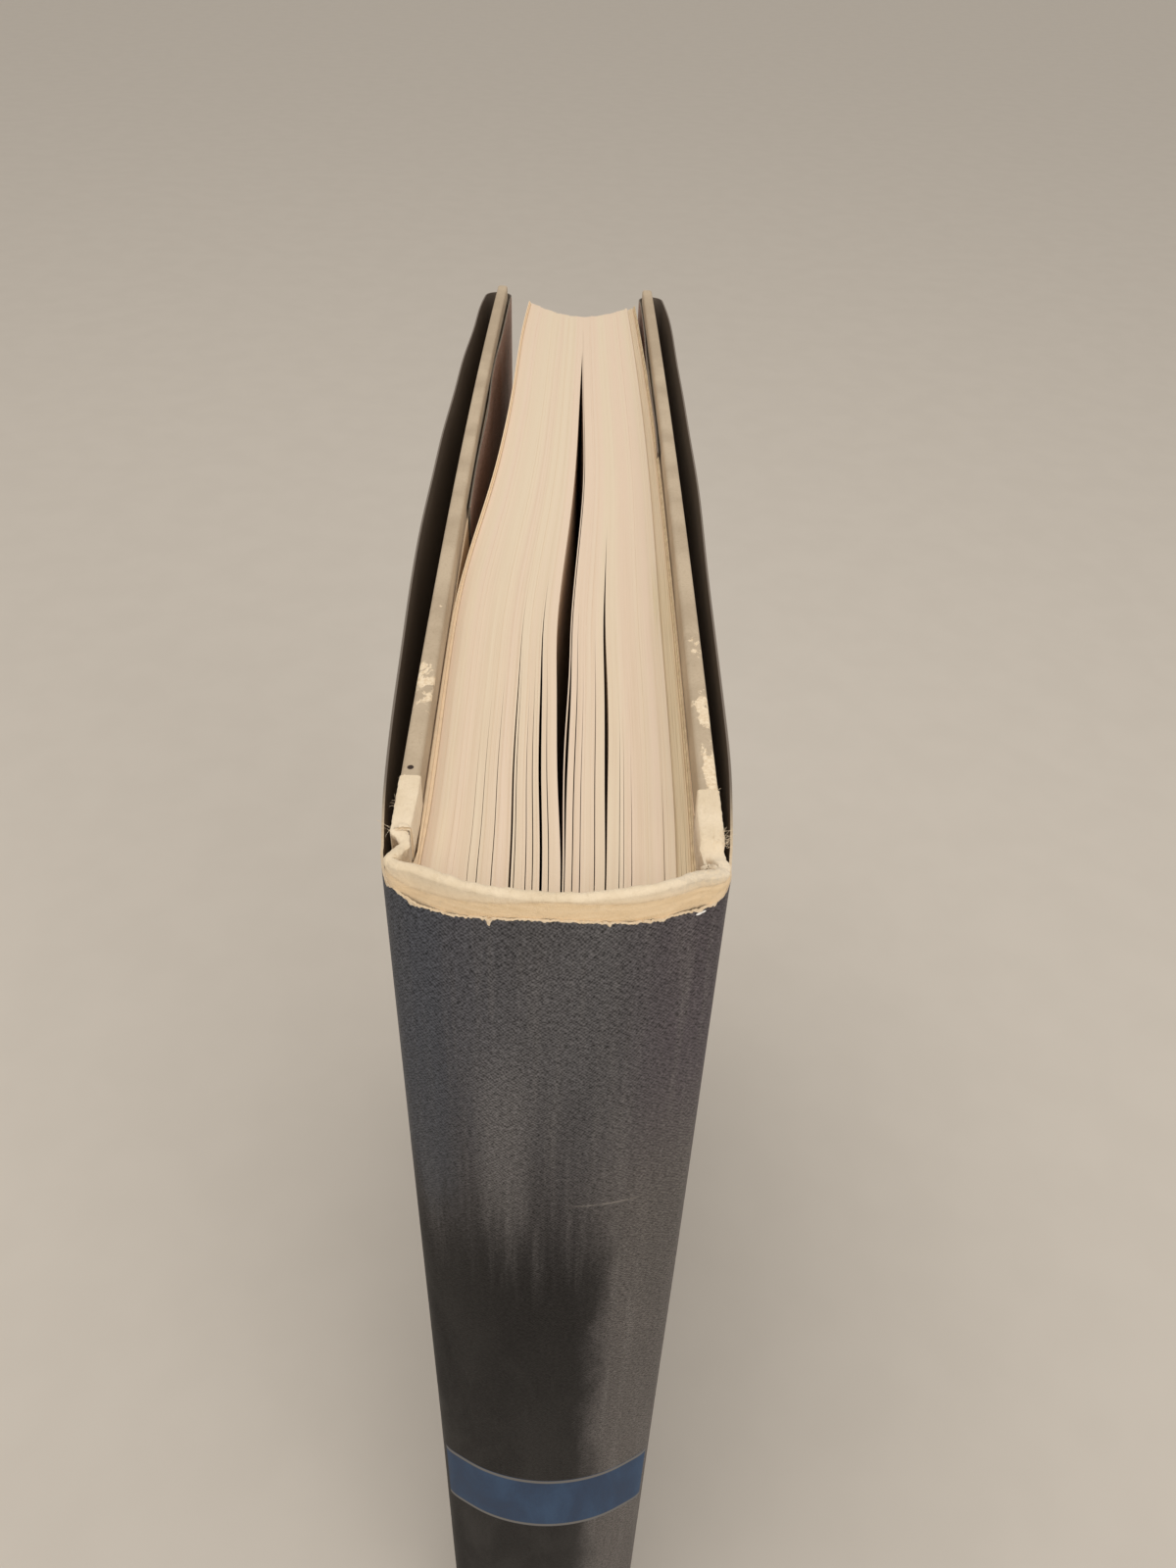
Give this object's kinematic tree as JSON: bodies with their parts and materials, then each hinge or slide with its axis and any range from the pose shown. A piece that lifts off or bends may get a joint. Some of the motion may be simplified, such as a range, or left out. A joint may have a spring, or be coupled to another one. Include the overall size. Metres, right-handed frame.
{
  "type": "hardcover book",
  "caption": "Hardcover book with quarter-cloth case and dark dust jacket, standing on its head edge, covers hinged at the joints.",
  "frame": {"origin": "middle of the book's footprint, on the surface that its head edge rests on", "axes": "+Z from the head edge up to the tail edge; +Y from the spine to the fore-edge; +X from the front cover to the back cover"},
  "size_m": [0.0428, 0.1906, 0.26],
  "materials": {
    "leaves": "uncoated, cream",
    "endpaper": "uncoated, orange tan",
    "gauze": "open cotton weave",
    "lining_paper": "kraft",
    "board_core": "grey board",
    "case_cloth": "cream book cloth",
    "side_paper": "grey tan, rubbed",
    "jacket": "printed dark grey, satin"
  },
  "bodies": {
    "book_block": {"text_block": "leaves", "front_flyleaf": "endpaper", "back_flyleaf": "endpaper", "spine_mull": "gauze", "spine_lining": "lining_paper", "spine_inlay": "board_core", "spine_cloth": "case_cloth", "jacket_spine": "jacket"},
    "front_cover": {"front_board": "board_core", "front_cloth": "case_cloth", "front_side_paper": "side_paper", "front_pastedown": "endpaper", "front_mull_flange": "gauze", "front_jacket": "jacket"},
    "back_cover": {"back_board": "board_core", "back_cloth": "case_cloth", "back_side_paper": "side_paper", "back_pastedown": "endpaper", "back_mull_flange": "gauze", "back_jacket": "jacket"}
  },
  "joints": [
    {"name": "front_cover_hinge", "type": "hinge", "parent": "book_block", "child": "front_cover", "pos_m": [-0.01603, -0.08802, 0.13], "axis": [0, 0, 1], "range_deg": [0, 180]},
    {"name": "back_cover_hinge", "type": "hinge", "parent": "book_block", "child": "back_cover", "pos_m": [0.01837, -0.08802, 0.13], "axis": [0, 0, -1], "range_deg": [0, 180]}
  ]
}
